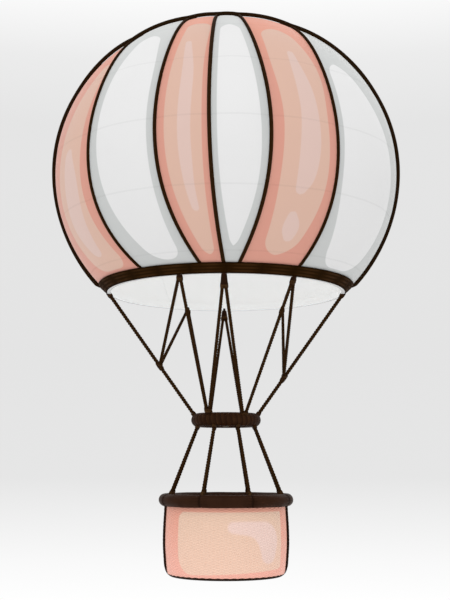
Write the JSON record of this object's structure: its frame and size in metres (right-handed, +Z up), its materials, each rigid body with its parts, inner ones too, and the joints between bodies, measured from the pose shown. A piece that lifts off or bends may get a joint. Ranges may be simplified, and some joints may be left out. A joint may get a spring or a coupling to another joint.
{
  "type": "hot air balloon",
  "caption": "Round striped balloon envelope held by stays to a load ring with a tilting burner above a round rimmed basket; vent panel at the crown.",
  "frame": {"origin": "centre of the envelope, on the balloon's upright axis", "axes": "+Z up along the upright axis, -Y the front that the picture shows, +X to the right seen from the front"},
  "size_m": [4.8948, 4.916, 7.8369],
  "materials": {
    "gore_peach": "coated woven cloth, peach with a salmon border",
    "gore_white": "coated woven cloth, off-white with a grey border",
    "load_tape": "dark brown woven webbing",
    "vent_fabric": "coated woven cloth",
    "mouth_band": "dark brown, padded and stitched",
    "rope": "dark brown laid rope",
    "ring_leather": "dark brown, stitched",
    "rim_leather": "dark brown, padded and stitched",
    "wicker": "woven willow, stained peach",
    "floor_timber": "varnished boards",
    "runner_timber": "oiled hardwood",
    "cylinder_metal": "satin",
    "collar_metal": "satin",
    "burner_steel": "heat-tinted",
    "coil_steel": "heat-tinted",
    "burner_brass": "satin"
  },
  "bodies": {
    "airframe": {"gore_01_peach": "gore_peach", "gore_02_white": "gore_white", "gore_03_peach": "gore_peach", "gore_04_white": "gore_white", "gore_05_peach": "gore_peach", "gore_06_white": "gore_white", "gore_07_peach": "gore_peach", "gore_08_white": "gore_white", "gore_09_peach": "gore_peach", "gore_10_white": "gore_white", "gore_11_peach": "gore_peach", "gore_12_white": "gore_white", "load_tapes": "load_tape", "mouth_band": "mouth_band", "stay_left": "rope", "stay_right": "rope", "leg_front_left_outer": "rope", "leg_front_left_inner": "rope", "leg_front_middle_left": "rope", "leg_front_middle_right": "rope", "leg_front_right_inner": "rope", "leg_front_right_outer": "rope", "leg_back_left_outer": "rope", "leg_back_left_inner": "rope", "leg_back_middle_left": "rope", "leg_back_middle_right": "rope", "leg_back_right_inner": "rope", "leg_back_right_outer": "rope", "basket_rope_1": "rope", "basket_rope_2": "rope", "basket_rope_3": "rope", "basket_rope_4": "rope", "basket_rope_5": "rope", "basket_rope_6": "rope", "basket_rope_7": "rope", "basket_rope_8": "rope", "load_ring": "ring_leather", "basket_rim": "rim_leather", "basket_wall": "wicker", "basket_floor": "floor_timber", "runner_1": "runner_timber", "runner_2": "runner_timber", "runner_3": "runner_timber", "fuel_cylinder_left": "cylinder_metal", "fuel_cylinder_right": "cylinder_metal", "valve_collar_left": "collar_metal", "valve_collar_right": "collar_metal"},
    "vent": {"vent_panel": "vent_fabric"},
    "burner": {"burner_can": "burner_steel", "burner_coil": "coil_steel", "burner_base": "burner_brass"}
  },
  "joints": [
    {"name": "vent_slide", "type": "slide", "parent": "airframe", "child": "vent", "axis": [0, 0, -1], "range_m": [0, 0.45], "stiffness_N_per_m": 60, "springref_m": -0.8},
    {"name": "burner_tilt", "type": "hinge", "parent": "airframe", "child": "burner", "pos_m": [0, 0, -3.497], "axis": [1, 0, 0], "range_deg": [-15, 15]}
  ]
}
